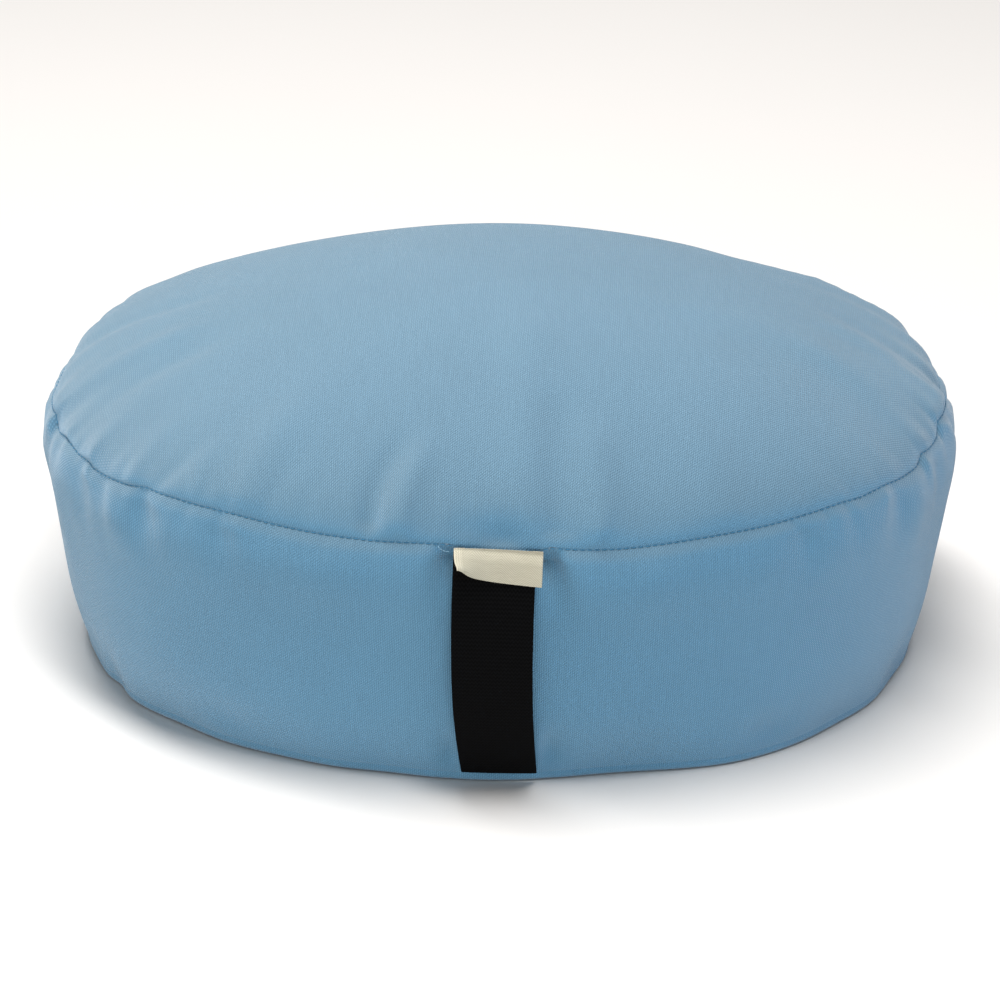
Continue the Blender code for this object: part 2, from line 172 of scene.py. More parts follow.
SEAM_SCALLOPS = [
    # angle_deg, half_width_deg, mm inwards
    (9, 4, 1), (18, 2.8, 2.2), (23.8, 3, 1.2), (29.5, 2.4, 2.4), (37, 2.4, 2), (48, 2.4, 1.6),
    (67, 2.4, 1.6), (91, 2.2, 1.4), (107, 2.4, 1.5), (128, 2.4, 1.6), (146, 2.2, 1.6),
    (155.5, 2.6, 1.6), (159.8, 3, 1.4), (164, 2.6, 2.2), (171.5, 4.5, 3), (179, 4.5, 1.6),
    (196.6, 1.6, 0.8), (226, 2, 1.2), (337, 1.6, 1.4), (346.2, 1.6, 1.6), (3, 2.2, 1.8),
]
SCALLOP_REACH = 14.0
TOP_PUCKERS = [
    # angle_deg at the seam, degrees it leans per 10 mm, reach_mm, half_width_mm, mm outwards
    (194, -1.6, 42, 4.2, 1.4), (186, 0, 10, 24, -2.6), (198.4, 0.3, 30, 3.4, -1.2),
    (204, 0, 38, 4.2, 1.1), (209, 0, 26, 3.2, -0.8), (213.5, -0.5, 26, 3.4, 1), (218, 0, 28, 3.6, -0.7),
    (223, -0.3, 40, 4, 0.9), (228, 0.5, 46, 3.8, -1), (235, -1.4, 42, 3.4, 0.8),
    (239, -1, 34, 3.4, -0.7), (244.3, -0.3, 24, 2.8, -0.7), (247.5, -0.3, 34, 3, 0.7),
    (256.9, -0.4, 42, 2.8, -1.1), (259.3, -0.5, 40, 2.4, 1), (261.6, -0.6, 34, 2.2, 0.7),
    (272.6, 0, 11, 9, -3.6), (276.5, 0, 40, 4, 0.6), (283.4, 1.1, 30, 2.6, 0.8),
    (342, -0.2, 45, 4, -1.2), (345.4, 1.6, 24, 2.6, 1.2), (357.5, -0.3, 50, 4.4, -1.5),
    (4, 1, 44, 4, 1.3), (8, 1.6, 44, 3, -0.9), (12.5, 2, 56, 3.4, 1.4), (18, 2.2, 46, 3.4, -1.3),
    (23.5, 2.4, 60, 3.4, 1.4), (29.5, 2.2, 46, 3.2, -1.1), (33, 2.2, 50, 3.2, 1),
    (37.5, 2, 36, 3.2, -0.9), (44, 0.1, 34, 3.6, 0.9), (52, 0.1, 26, 3.6, -0.8), (66, 0.1, 24, 4, -0.8),
    (90, 0, 22, 4, -0.8), (107, 0, 24, 4, -0.8), (128, -0.1, 26, 4, -0.9), (141, -0.1, 30, 3.6, 0.9),
    (151, -0.2, 38, 3.4, 0.7), (155.5, -0.2, 32, 3.2, -0.7), (159.5, -0.2, 40, 3.4, 0.7),
    (164, -1.6, 36, 3.4, -0.8), (170, -1.8, 48, 4.4, 0.9), (178, -1.6, 44, 4.4, -1),
    (186.5, -1.8, 60, 4.2, 1.1), (160, 0, 10, 40, -2.2), (20, 0, 10, 40, -2.2), (50, 0, 60, 20, -2.2),
]
BAND_PUCKERS = [
    # angle_deg at the seam, degrees it leans per 10 mm, reach_mm, half_width_mm, mm outwards
    (189.5, -1.5, 18, 4.6, -1.5), (196.4, -2.5, 26, 4.4, 1.1), (202.3, -0.4, 15, 4.2, -1.5),
    (207, -0.3, 20, 3.6, 0.5), (211.3, -0.5, 14, 3.2, -1.2), (217.2, 0.6, 30, 4.6, -1.6),
    (225.8, 0, 14, 3.8, -1.7), (229.8, 0.2, 30, 4.2, 0.4), (233.2, 0, 12, 2.8, -1.1),
    (238, 0, 13, 2.6, -1.3), (241, 0, 16, 2.6, 0.4), (245, 0, 11, 2.2, -0.8), (253, 0, 14, 2.8, 0.4),
    (266.7, -0.2, 24, 4.4, -8), (277.9, 0.3, 26, 4.8, -8.5), (283.5, 0.5, 26, 3.2, 0.4),
    (308.4, 1.3, 28, 2.8, -0.8), (313.5, 0, 9, 2, -1), (315.3, 0.1, 14, 2, 0.6),
    (317.2, 0.7, 28, 2.8, -1.1), (324.5, 0.2, 14, 2.2, 0.5), (326.8, 1, 24, 3, -0.8),
    (336.6, 1.4, 22, 2.4, 0.9), (339.6, 1, 24, 3.2, -0.6), (346.2, 3.5, 18, 2.6, 0.9),
    (350.2, 2.5, 20, 3.8, -1.2), (3, 0.5, 18, 3.4, -1.4), (9, 0, 12, 6, 1.5), (18, 0.4, 18, 3.4, -1.9),
    (23.8, 0, 12, 5.5, 1.7), (29.5, 0.2, 18, 3.2, -1.9), (33.4, 0, 12, 4, 1.4),
    (37, 0.2, 16, 3.2, -1.7), (48, 0.1, 16, 3.6, -1.6), (67, 0.1, 16, 3.6, -1.8),
    (79, 0.1, 22, 3.4, 0.7), (91, 0, 16, 3.6, -1.6), (107, 0, 16, 3.6, -1.9), (128, 0, 18, 3.6, -1.9),
    (146, -0.2, 16, 3.2, -1.7), (150.8, 0, 12, 6, 1.4), (155.5, -0.3, 18, 2.8, -0.9),
    (159, 0, 14, 7, 3.2), (165.5, -0.3, 18, 2.8, -1.6), (172, 0, 13, 6, 0.6),
    (180, -0.4, 18, 3.2, -1.2),
]
TOP_START = 3.2  # mm from the seam over which a pucker rises
BAND_START = 1.7
PUCKER_SPREAD = 0.16  # mm by which its half width grows with each mm from the seam
SMALL_SPACING = (1.8, 5.0)  # degrees between small puckers
SMALL_LEAN = 0.8  # degrees per 10 mm, either way
SMALL_REACH = (8.0, 30.0)  # mm
SMALL_WIDTH = (1.9, 3.8)  # mm
SMALL_HEIGHT = (0.15, 0.55)  # mm
SMOOTH_FRONT = (283.0, 40.0, 0.55)  # angle, half width and share by which they are lower
FOOT_WAVES = [
    # angle_deg, half_width_deg, mm outwards of the bottom edge
    (211, 3, -2.4), (227, 8, -3.2), (243, 8, -2), (258, 6, -1.8), (287, 10, -4.2), (303, 6, 0.8),
    (322, 8, -2.6), (340, 8, -2.4), (15, 8, -1.8), (40, 7, 1.2), (62, 8, -1.8), (98, 9, 1),
    (118, 8, -2), (143, 7, 1.2), (170, 9, -2), (200, 7, -1),
]
FOOT_WAVE_REACH = 26.0  # mm of cloth above the bottom seam that follow them
FOOT_DENTS = [
    # angle_deg, mm above the bottom seam, half_width_deg, half_height_mm, mm outwards
    (266.1, 13, 1.1, 9, -1.8), (278.3, 15, 1.2, 10, -2.4),
]

# ---- cover mesh and seams
COLUMNS = 1080  # faces around the oval
DOME_STEP = 0.0076  # widest ring of the top, as a distance along the cloth
DOME_SIDE = math.radians(300.0)  # where that distance is measured
DOME_SAMPLES = 4001
# Distances from a seam of the rings beside it; further out the rings are evenly spaced.
SEAM_RINGS_MM = [0.28, 0.6, 1.0, 1.5, 2.1, 2.9, 3.9, 5.2, 6.8, 8.8, 11.2, 14.2, 17.8, 22.0]
FOOT_RINGS_MM = [0.35, 0.8, 1.4, 2.4, 3.8, 5.8, 8.6, 12.0]
BAND_STEP = 0.0060
UNDERSIDE_RINGS = (0.985, 0.94, 0.80, 0.50, 0.20)  # as shares of the floor line
TOP_CREASE = (0.27, 0.40)  # depth and half width of the sunk seam line, mm
TOP_VALLEY = (0.40, 2.6)  # depth and half width of the shallow valley round it, mm
FOOT_CREASE = (0.18, 0.5)
UNDER_LABEL = (272.35, 5.3)  # angle and half width of the seam that the label covers

STITCH_PITCH = 0.0034
STITCH_LENGTH = 0.0024
STITCH_RADIUS = 0.00020
STITCH_SINK = 0.00036  # how deep a thread lies under the smooth seam line
STITCH_DROP = 0.35  # how much of that again it lies lower
SEAM_SAMPLES = 7200
THREAD_RINGS = 5  # of points along a thread
THREAD_SIDES = 6
THREAD_TIP = 0.15  # share of its radius added all along, so that its ends aren't points
LOOSE_THREAD = [
    # angle_deg, mm under the top seam, mm off the wall
    (265.2, 0.2, 0.1), (265.45, 1, 0.8), (265.8, 1.7, 1), (266.2, 2.1, 0.9), (266.6, 2.3, 0.6),
]
LOOSE_THREAD_RADIUS = 0.00013

WEBBING_COLUMN = 0.0017  # width of one of the webbing's braided columns
WEBBING_FLOAT = 0.0021  # length of one of its V-shaped floats
WEBBING_SLANT = 1.3  # how far a float's V reaches down, as a share of its length
WEBBING_RELIEF = 0.00026
WEBBING_YARN = 0.00052  # between single yarns
WEBBING_COLUMNS = 96  # of the strap's mesh
WEBBING_ROWS = 300

# ---- weave
TWILL_PITCH = 0.00114  # between the twill's diagonals, straight across them
TWILL_SLOPE = math.radians(40.0)  # up to the right
RIB_PITCH = 0.00104  # between the warp's ribs
HAIR_PITCH = 0.00034  # between single yarns
CLOTH_RELIEF = 0.00026  # height of the weave
TAPE_CHEVRON = 0.0068  # width of one arm of the tape's herringbone
TAPE_SLOPE = 0.9  # of the herringbone's lines
TAPE_PITCH = 0.00110
TAPE_YARN = 0.00042  # between single yarns
FOLD_LINES = 3  # raised yarns beside the tape's left fold
FOLD_LINE_PITCH = 0.0011

# ---- camera
CAMERA_AZIMUTH = math.radians(3.10)
CAMERA_ELEVATION = math.radians(28.31)
CAMERA_DISTANCE = 1.6
CAMERA_TARGET = Vector((0.0, 0.0, 0.06))
CAMERA_LENS = 111.24  # mm, on a sensor 36 mm wide
CAMERA_AIM_UP = 0.0100  # how far above its target it looks
CAMERA_AIM_RIGHT = 0.0009


# ---- helpers
def bell(distance):
    """A smooth hump: 1 in the middle, 0.37 at distance 1, nearly 0 from 2 on."""
    return np.exp(-np.square(distance))


def turn_between(angle, other_deg):
    """Signed difference of angles in degrees, from -180 to 180."""
    difference = np.degrees(angle) - other_deg
    return (difference + 180.0) % 360.0 - 180.0


def waves(angle, table):
    """Sum of a table of slow waves at an angle, in metres."""
    total = np.zeros_like(angle)
    for centre, half_width, height in table:
        total += height * MM * bell(turn_between(angle, centre) / half_width)
    return total


def smooth_lookup(table, place):
    """Values of a table (place, value) at places, eased with a cubic between its rows."""
    places, values = np.array(table, dtype=float).T
    runs = np.diff(places)
    slopes = np.diff(values) / runs
    before = slopes[:-1]
    after = slopes[1:]
    same_way = before * after > 0.0
    total = np.where(same_way, before + after, 1.0)
    inner = np.where(same_way, 2.0 * before * after / total, 0.0)
    tangents = np.concatenate([slopes[:1], inner, slopes[-1:]])
    place = np.clip(place, places[0], places[-1])
    i = np.clip(np.searchsorted(places, place, side="right") - 1, 0, len(runs) - 1)
    s = (place - places[i]) / runs[i]
    return (values[i] * (1 + 2 * s) * (1 - s) ** 2
            + values[i + 1] * s * s * (3 - 2 * s)
            + runs[i] * tangents[i] * s * (1 - s) ** 2
            - runs[i] * tangents[i + 1] * s * s * (1 - s))


def outward(angle):
    """Unit vector in plan that points straight out of the oval."""
    x = np.cos(angle) / LENGTH
    y = np.sin(angle) / DEPTH
    size = np.hypot(x, y)
    return x / size, y / size


def seam_outline(angle):
    """The top seam in plan: an oval that is a little squared, with its slow waves."""
    front = 0.5 - 0.5 * np.tanh(np.sin(angle) / SQUARE_BLEND)
    square = SQUARE_BACK + (SQUARE_FRONT - SQUARE_BACK) * front
    fill_out = 1.0 + square * (1.0 - np.cos(4.0 * angle))
    nx, ny = outward(angle)
    wave = waves(angle, PLAN_WAVES)
    x = LENGTH / 2.0 * np.cos(angle) * fill_out + nx * wave
    y = DEPTH / 2.0 * np.sin(angle) * fill_out + ny * wave
    return x, y


def seam_height(angle):
    return SEAM_HEIGHT + waves(angle, SEAM_WAVES)


def tuck(angle, share):
    """Inward pull of the wall around the strap's upper end."""
    across = bell(turn_between(angle, TUCK_ANGLE) / TUCK_HALF_WIDTH)
    down = bell((1.0 - share) / TUCK_SHARE)
    return TUCK_DEPTH * across * down


def dome_height(angle, radius):
    """Height of the smooth dome over the floor, at a share of the seam's radius."""
    radius = np.minimum(radius, DOME_LIMIT)
    dome = CROWN * (1.0 - radius ** DOME_POWER) ** (1.0 / EDGE_POWER)
    middle_zone = 6.0 * radius ** 3 * (1.0 - radius)
    seam_wave = (seam_height(angle) - SEAM_HEIGHT) * radius ** 3
    return SEAM_HEIGHT + dome + seam_wave + waves(angle, DOME_WAVES) * middle_zone


def fold_lines(x, y, table):
    """Height in metres of soft ridges and troughs along straight lines in plan."""
    total = np.zeros_like(x)
    for x0, y0, x1, y1, half_width, height in table:
        run_x = (x1 - x0) * MM
        run_y = (y1 - y0) * MM
        from_x = x - x0 * MM
        from_y = y - y0 * MM
        length = math.hypot(run_x, run_y)
        along = (from_x * run_x + from_y * run_y) / length
        across = (from_x * run_y - from_y * run_x) / length
        beyond = np.maximum(0.0, np.maximum(-along, along - length))
        spread = half_width * MM
        total += height * MM * bell(across / spread) * bell(beyond / (1.5 * spread))
    return total


def top_point(angle, radius):
    """Points of the top panel; its folds rise along the dome's own slope."""
    x, y = seam_outline(angle)
    nx, ny = outward(angle)
    pulled = tuck(angle, 1.0)
    reach = np.hypot(x, y) * SLOPE_STEP
    x = (x - nx * pulled) * radius
    y = (y - ny * pulled) * radius
    height = dome_height(angle, radius)
    fall = dome_height(angle, np.maximum(radius - SLOPE_STEP, 0.0)) - height
    steep = np.minimum(fall / reach, STEEPEST)
    size = np.hypot(steep, 1.0)
    edge_fade = np.minimum(1.0, (1.0 - radius) / SEAM_FADE)
    fold = fold_lines(x, y, TOP_FOLDS) * edge_fade
    out = fold * steep / size
    return np.stack([x + nx * out, y + ny * out, height + fold / size], axis=-1)


def band_fold(angle, share):
    total = np.zeros_like(angle)
    for centre, height_share, half_width, half_share, depth in BAND_FOLDS:
        sideways = turn_between(angle, centre) / half_width
        upright = (share - height_share) / half_share
        total += depth * MM * bell(sideways) * bell(upright)
    edge_fade = np.minimum(1.0, np.minimum(share, 1.0 - share) / BAND_FADE)
    return total * edge_fade


def wall_out(angle, share):
    """How far the side band stands outside the top seam's outline."""
    return smooth_lookup(WALL, share) * MM - tuck(angle, share)


def band_point(angle, share, off_wall=0.0):
    """Points of the side band, or ones that stand off it by off_wall."""
    x, y = seam_outline(angle)
    nx, ny = outward(angle)
    out = wall_out(angle, share) + band_fold(angle, share) + off_wall
    z = FOOT_HEIGHT + (seam_height(angle) - FOOT_HEIGHT) * share
    return np.stack([x + nx * out, y + ny * out, z], axis=-1)


def rim_point(angle, height_share):
    """Points of the bottom panel between its seam and the floor."""
    rising = sorted(RIM)
    x, y = seam_outline(angle)
    nx, ny = outward(angle)
    out = smooth_lookup(rising, height_share) * MM
    z = np.full_like(angle, FOOT_HEIGHT * height_share)
    return np.stack([x + nx * out, y + ny * out, z], axis=-1)


# ---- cover mesh
def even_steps(start, end, widest):
    """Places from start to end, both left out, spaced evenly and no wider than widest."""
    count = max(1, math.ceil(abs(end - start) / widest))
    return list(np.linspace(start, end, count + 1)[1:-1])


def run_along(points):
    """Distance along a line of points from its first."""
    steps = np.linalg.norm(np.diff(points, axis=0), axis=-1)
    return np.concatenate([np.zeros_like(steps[:1]), np.cumsum(steps, axis=0)])


def top_radii():
    """Radii of the top panel's rings: distances along the cloth, turned into radii."""
    fine = 1.0 - np.linspace(1.0, 0.0, DOME_SAMPLES) ** 2
    place = top_point(np.full_like(fine, DOME_SIDE), fine)
    to_seam = run_along(place[::-1])[::-1]
    near = [distance * MM for distance in SEAM_RINGS_MM]
    far = even_steps(near[-1], to_seam[0], DOME_STEP)
    wanted = np.array(near + far)[::-1]
    return list(np.interp(-wanted, -to_seam, fine))


def band_shares():
    """Shares of the band's height of its rings, from under the top seam to the foot."""
    upper = [distance * MM for distance in SEAM_RINGS_MM]
    lower = [BAND_HEIGHT - distance * MM for distance in FOOT_RINGS_MM][::-1]
    middle = even_steps(upper[-1], lower[0], BAND_STEP)
    return [1.0 - place / BAND_HEIGHT for place in upper + middle + lower]


def cover_rings(angle):
    """Every ring of the cover from the top's middle outwards and down to the floor.

    Gives their points, and the row numbers of the top seam and the bottom seam.
    """
    rings = [top_point(angle, radius) for radius in top_radii()]
    top_seam = len(rings)
    rings += [band_point(angle, share) for share in [1.0] + band_shares()]
    foot_seam = len(rings)
    rings.append(band_point(angle, 0.0))
    rings += [rim_point(angle, share) for share, _ in RIM[1:]]
    floor = rings[-1]
    rings += [floor * np.array([share, share, 1.0]) for share in UNDERSIDE_RINGS]
    return np.array(rings), top_seam, foot_seam


def ring_normals(rings):
    """Outward unit normals of a grid of rings."""
    around = np.roll(rings, -1, axis=1) - np.roll(rings, 1, axis=1)
    down = np.gradient(rings, axis=0)
    normals = np.cross(down, around)
    return normals / np.maximum(np.linalg.norm(normals, axis=-1, keepdims=True), 1e-12)


def distance_down(rings, row):
    """Distance along the cloth of every ring from one of them, positive below it."""
    travelled = run_along(rings)
    return travelled - travelled[row]


def run_around(points):
    """Distance along a closed line of points from its first, with the whole length last."""
    return run_along(np.concatenate([points, points[:1]]))


def seam_shift(angle, distance):
    """How the kinks and scallops of the top seam move a point distance mm of cloth from it."""
    degrees = (np.degrees(angle) + 3.0) % 360.0 - 3.0
    places, heights = np.array(SEAM_KINKS).T
    up = np.interp(degrees, places, heights) * MM * bell(distance / KINK_REACH)
    inwards = waves(angle, SEAM_SCALLOPS) * bell(distance / SCALLOP_REACH)
    nx, ny = outward(angle)
    return np.stack([-nx * inwards, -ny * inwards, up], axis=-1)


def small_puckers(seed):
    """Rows of small creases all round the seam, the same ones on every run."""
    chance = np.random.default_rng(seed)
    rows = []
    way = 1.0
    angle = 0.0
    while angle < 360.0:
        front, half_width, lower = SMOOTH_FRONT
        strength = 1.0 - lower * bell(turn_between(math.radians(angle), front) / half_width)
        rows.append((angle,
                     chance.uniform(-SMALL_LEAN, SMALL_LEAN),
                     chance.uniform(*SMALL_REACH),
                     chance.uniform(*SMALL_WIDTH),
                     chance.uniform(*SMALL_HEIGHT) * strength * way))
        angle += chance.uniform(*SMALL_SPACING)
        way = -way
    return rows


def pucker_height(angle, distance, pace, start, rows):
    """Metres that fan-shaped creases lift the cloth; distance in mm from the seam they leave.

    pace is how many mm of seam there are in a degree, and start over how many a crease rises.
    """
    total = np.zeros_like(distance)
    for centre, lean, reach, half_width, height in rows:
        across = turn_between(angle, centre) - lean * distance / 10.0
        spread = half_width + PUCKER_SPREAD * distance
        rise = 1.0 - np.exp(-distance / start)
        fade = np.exp(-(distance / reach) ** 2)
        total += height * rise * fade * bell(across * pace / spread)
    return total * MM


def add_puckers(rings, top_seam, angle):
    """Crease the cloth on both sides of the top seam."""
    normals = ring_normals(rings)
    from_top = distance_down(rings, top_seam) / MM
    run = run_around(rings[top_seam]) / MM
    pace = np.diff(run) * len(angle) / 360.0
    angle = np.ones((len(rings), 1)) * angle
    top_rows = TOP_PUCKERS + small_puckers(5)
    band_rows = BAND_PUCKERS + small_puckers(8)
    above = pucker_height(angle, np.maximum(-from_top, 0.0), pace, TOP_START, top_rows)
    below = pucker_height(angle, np.maximum(from_top, 0.0), pace, BAND_START, band_rows)
    return rings + seam_shift(angle, from_top) + normals * (above + below)[..., None]


def wave_foot(rings, foot_seam, angle):
    """Make the edge that the cushion stands on uneven; all of it stays on the floor."""
    from_foot = np.maximum(-distance_down(rings, foot_seam), 0.0) / MM
    nx, ny = outward(angle)
    out = waves(angle, FOOT_WAVES) * bell(from_foot / FOOT_WAVE_REACH)
    for centre, above, half_width, half_height, height in FOOT_DENTS:
        across = bell(turn_between(angle, centre) / half_width)
        out += height * MM * across * bell((from_foot - above) / half_height)
    return rings + np.stack([nx * out, ny * out, np.zeros_like(out)], axis=-1)


def covered(angle):
    """1 where the label covers the top seam, 0 elsewhere."""
    centre, half_width = UNDER_LABEL
    return np.exp(-(turn_between(angle, centre) / half_width) ** 8)


def sink_seams(rings, top_seam, foot_seam, angle):
    """Pull the cloth in along both seams, but not where the label hides the line."""
    normals = ring_normals(rings)
    from_top = distance_down(rings, top_seam) / MM
    from_foot = distance_down(rings, foot_seam) / MM
    depth = TOP_CREASE[0] * bell(from_top / TOP_CREASE[1])
    depth += TOP_VALLEY[0] * bell(from_top / TOP_VALLEY[1])
    depth *= 1.0 - covered(angle)
    depth += FOOT_CREASE[0] * bell(from_foot / FOOT_CREASE[1])
    return rings - normals * depth[..., None] * MM


def quad_corners(grid):
    """The four corners of every quad of a grid: down its left side, then up its right."""
    return np.stack([grid[:-1, :-1], grid[1:, :-1], grid[1:, 1:], grid[:-1, 1:]], axis=2)


def close_around(grid):
    """A grid with its first column once more at its end."""
    return np.concatenate([grid, grid[:, :1]], axis=1)


def cover_faces(rows):
    """Quads between the rings, then a fan to the pole of the top and one to the underside's."""
    nth = close_around(np.arange(rows * COLUMNS).reshape(rows, COLUMNS))
    pole = np.full(COLUMNS, rows * COLUMNS)
    top = np.stack([pole, nth[0, :-1], nth[0, 1:]], axis=1)
    bottom = np.stack([pole + 1, nth[-1, 1:], nth[-1, :-1]], axis=1)
    return quad_corners(nth).reshape(-1, 4).tolist() + top.tolist() + bottom.tolist()


def cover_weave(rings, top_seam, foot_seam):
    """UVs of the corners of cover_faces, in metres of cloth: each panel is laid out flat."""
    from_top = distance_down(rings, top_seam)
    middle = np.linalg.norm(rings[0] - np.array([0.0, 0.0, rings[0, :, 2].mean()]), axis=-1)
    from_middle = from_top - from_top[0] + middle
    direction = np.arctan2(rings[..., 1], rings[..., 0])
    top = [from_middle * np.cos(direction), from_middle * np.sin(direction)]
    top = close_around(np.stack(top, axis=-1))
    down = close_around(from_top)
    around = np.broadcast_to(run_around(rings[top_seam]), down.shape)
    band = np.stack([around, -down], axis=-1)
    under = close_around(rings[..., :2])
    rim = foot_seam + len(RIM) - 1
    parts = [quad_corners(top[:top_seam + 1]),
             quad_corners(band[top_seam:rim + 1]),
             quad_corners(under[rim:])]
    for first, second in ((top[0, :-1], top[0, 1:]), (under[-1, 1:], under[-1, :-1])):
        parts.append(np.stack([np.zeros_like(first), first, second], axis=1))
    return np.concatenate([part.reshape(-1, 2) for part in parts])


def new_mesh(name, points, faces, material):
    mesh = bpy.data.meshes.new(name)
    mesh.from_pydata(points, [], faces)
    mesh.materials.append(material)
    mesh.shade_smooth()
    return mesh


def add_object(name, data):
    """Put a new object into the scene."""
    made = bpy.data.objects.new(name, data)
    bpy.context.scene.collection.objects.link(made)
    return made


def add_piece(name, mesh):
    """Put a mesh into the scene as a piece of the object."""
    piece = add_object(name, mesh)
    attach(piece, "root")
    return piece


def build_cover():
    angle = np.linspace(0.0, math.tau, COLUMNS, endpoint=False)
    smooth, top_seam, foot_seam = cover_rings(angle)
    rings = add_puckers(smooth, top_seam, angle)
    rings = wave_foot(rings, foot_seam, angle)
    rings = sink_seams(rings, top_seam, foot_seam, angle)
    rings[..., 2] = np.maximum(rings[..., 2], 0.0)
    pole = top_point(angle, 0.0).mean(axis=0)
    points = np.concatenate([rings.reshape(-1, 3), [pole, np.zeros(3)]])
    mesh = new_mesh("cover", points.tolist(), cover_faces(len(rings)), cloth_material())
    weave = cover_weave(smooth, top_seam, foot_seam)
    mesh.uv_layers.new(name="weave").data.foreach_set("uv", weave.ravel())
    cover = add_piece("cover", mesh)
    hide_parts("cushion")
    return cover


# ---- strap and label
def strap_point(across, share, off_wall=0.0):
    """Points of the strap's back face; across runs from -0.5 to 0.5 over its width."""
    down = np.clip((STRAP_TOP - share) / (STRAP_TOP - STRAP_FOOT), 0.0, 1.0)
    from_seam = np.maximum(1.0 - share, 0.0) * BAND_HEIGHT
    off_wall = off_wall * (1.0 - PINCH * bell(from_seam / PINCH_REACH))
    width = STRAP_WIDTH + (STRAP_FOOT_WIDTH - STRAP_WIDTH) * down ** 3
    middle = STRAP_X + STRAP_WANDER * np.sin(math.pi * down) + STRAP_FOOT_DRIFT * down ** 3
    middle_angle = FRONT_ANGLE + middle / (LENGTH / 2.0)
    off = GAP + STRAP_SLACK * np.sin(math.pi * down) ** STRAP_BOW_POWER + off_wall
    # Seen from above, the wall's lines fan out, so a place off it spans a smaller angle.
    fan = (wall_out(middle_angle, share) + off) * DEPTH / LENGTH
    angle = middle_angle + across * width / (LENGTH / 2.0 + fan)
    unfolded = band_fold(middle_angle, share) - band_fold(angle, share)
    return band_point(angle, share, off + unfolded)


def label_point(across, down, off_strap=0.0):
    """Points of the label's back face; down runs from 0 at the seam to 1."""
    upright = LABEL_LEAN + LABEL_LEAN_GAIN * across
    top = LABEL_TOP + LABEL_RISE * (across + 0.5) / BAND_HEIGHT
    share = top - down * LABEL_HEIGHT * upright / BAND_HEIGHT
    strap_across = (LABEL_X + across * LABEL_WIDTH - STRAP_X) / STRAP_WIDTH
    off_wall = STRAP_THICK + GAP + off_strap
    place = strap_point(strap_across, np.minimum(share, STRAP_SEWN), off_wall)
    place[..., 2] += np.maximum(0.0, share - STRAP_SEWN) * BAND_HEIGHT
    from_corner = np.hypot((across + 0.5) * LABEL_WIDTH, (1.0 - down) * LABEL_HEIGHT) / MM
    for reach, x, y, z in LABEL_CURLS:
        place += bell(from_corner / reach)[..., None] * np.array([x, y, z]) * MM
    return place


def ribbon_mesh(name, front, back, uv, material):
    """A thin solid between two grids of points, closed along all four edges."""
    rows, columns, _ = front.shape
    nth = np.arange(rows * columns).reshape(rows, columns)
    behind = nth + rows * columns
    faces = quad_corners(nth)[..., [0, 3, 2, 1]].reshape(-1, 4).tolist()
    faces += quad_corners(behind).reshape(-1, 4).tolist()
    border = np.concatenate([nth[0, :-1], nth[:-1, -1], nth[-1, :0:-1], nth[:0:-1, 0]])
    under = border + rows * columns
    faces += np.stack([np.roll(border, -1), border, under, np.roll(under, -1)], axis=1).tolist()
    points = np.concatenate([front.reshape(-1, 3), back.reshape(-1, 3)])
    mesh = new_mesh(name, points.tolist(), faces, material)
    corners = np.empty(len(mesh.loops), dtype=np.int32)
    mesh.loops.foreach_get("vertex_index", corners)
    flat = np.concatenate([uv.reshape(-1, 2), uv.reshape(-1, 2)])
    mesh.uv_layers.new(name="weave").data.foreach_set("uv", flat[corners].ravel())
    mesh.set_sharp_from_angle(angle=math.radians(60.0))
    return mesh


def webbing_relief(across, along):
    """0 to 1: the rounded V-shaped floats of a braided webbing, column beside column."""
    column = across / WEBBING_COLUMN
    from_middle = np.abs(column - np.round(column))
    place = along / WEBBING_FLOAT + WEBBING_SLANT * from_middle
    float_shape = np.abs(np.sin(math.pi * place)) ** 0.8
    return (1.0 - from_middle) * (0.25 + 0.75 * float_shape)


def build_strap():
    across, share = np.meshgrid(np.linspace(-0.5, 0.5, WEBBING_COLUMNS),
                                np.linspace(STRAP_SEWN, STRAP_FOOT, WEBBING_ROWS))
    along = (STRAP_SEWN - share) * BAND_HEIGHT
    from_edge = (0.5 - np.abs(across)) * STRAP_WIDTH
    round_edge = np.clip(1.0 - from_edge / (STRAP_THICK / 2.0), 0.0, 0.96)
    body = np.sqrt(1.0 - round_edge ** 2)
    relief = webbing_relief(across * STRAP_WIDTH, along) * WEBBING_RELIEF * body
    half = STRAP_THICK / 2.0 * body
    front = strap_point(across, share, STRAP_THICK / 2.0 + half - WEBBING_RELIEF * body + relief)
    back = strap_point(across, share, STRAP_THICK / 2.0 - half)
    uv = np.stack([across * STRAP_WIDTH, -along], axis=-1)
    mesh = ribbon_mesh("webbing_handle", front, back, uv, webbing_material())
    strap = add_piece("webbing_handle", mesh)
    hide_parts("handle_strap")
    return strap


def label_path():
    """The folded tape seen end on: places along the label and off the strap, in metres."""
    inner, bend, front = LABEL_STEPS
    half = LABEL_WIDTH / 2.0 - LABEL_FOLD_RADIUS
    fold = [(-half + LABEL_TURN_IN * (1.0 - i / inner), LABEL_BACK) for i in range(inner)]
    for i in range(bend + 1):
        turn = math.pi * i / bend
        fold.append((-half - LABEL_FOLD_RADIUS * math.sin(turn),
                     LABEL_BACK + LABEL_FOLD_RADIUS * (1.0 - math.cos(turn))))
    off = LABEL_BACK + 2.0 * LABEL_FOLD_RADIUS
    middle = [(-half + 2.0 * half * i / front, off) for i in range(1, front)]
    return np.array(fold + middle + [(-x, off) for x, off in reversed(fold)])


